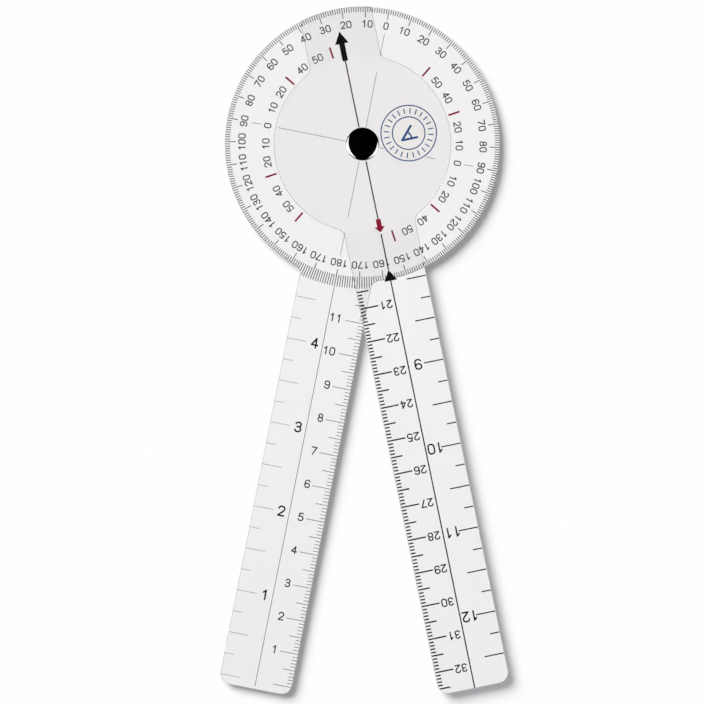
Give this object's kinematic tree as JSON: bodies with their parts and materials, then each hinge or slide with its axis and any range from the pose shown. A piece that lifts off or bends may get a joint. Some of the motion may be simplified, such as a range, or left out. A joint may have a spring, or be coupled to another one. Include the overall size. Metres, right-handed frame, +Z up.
{
  "type": "goniometer",
  "caption": "Clear plastic goniometer: round protractor head with a fixed arm, and a riveted measuring arm that swings to read a joint angle.",
  "frame": {"origin": "on the rivet's axis, on the flat back of the rivet, which is the face that the goniometer rests on", "axes": "+Z up through the rivet towards its domed cap, -Y along the fixed arm, +Y towards the head's 0 degree mark, +X to the right of it seen from the cap's side"},
  "size_m": [0.1137, 0.2055, 0.0055],
  "materials": {
    "clear_sheet": "clear, glossy, lightly polished edges",
    "clear_film": "clear thin film",
    "rivet_chrome": "bright polished",
    "steel_washer": "dull bright",
    "grey_ink": "screen print, dark grey hairlines",
    "black_ink": "screen print, black",
    "red_ink": "screen print, crimson",
    "blue_ink": "screen print, deep blue",
    "pale_ink": "screen print, off-white backing"
  },
  "bodies": {
    "protractor": {"protractor_plate": "clear_sheet", "rear_washer": "steel_washer", "rivet_post": "rivet_chrome", "rivet_barrel": "rivet_chrome", "rivet_cap": "rivet_chrome", "friction_disc": "clear_film", "degree_ticks": "grey_ink", "ten_degree_ticks": "grey_ink", "degree_numerals": "black_ink", "quadrant_numerals": "black_ink", "quadrant_marks": "red_ink", "reference_lines": "grey_ink", "fixed_centre_line": "grey_ink", "fixed_cm_ticks": "grey_ink", "fixed_cm_numerals": "black_ink", "fixed_inch_ticks": "grey_ink", "fixed_inch_numerals": "black_ink"},
    "arm": {"measuring_arm": "clear_sheet", "arm_centre_lines": "black_ink", "arm_cm_ticks": "black_ink", "arm_cm_numerals": "black_ink", "arm_inch_ticks": "black_ink", "arm_inch_numerals": "black_ink", "tab_pointer": "black_ink", "hub_pointer": "red_ink", "reading_triangle": "black_ink", "badge_backing": "pale_ink", "badge_print": "blue_ink"}
  },
  "joints": [
    {"name": "arm_pivot", "type": "hinge", "parent": "protractor", "child": "arm", "pos_m": [0, 0, 0.0031], "axis": [0, 0, 1], "continuous": true}
  ]
}
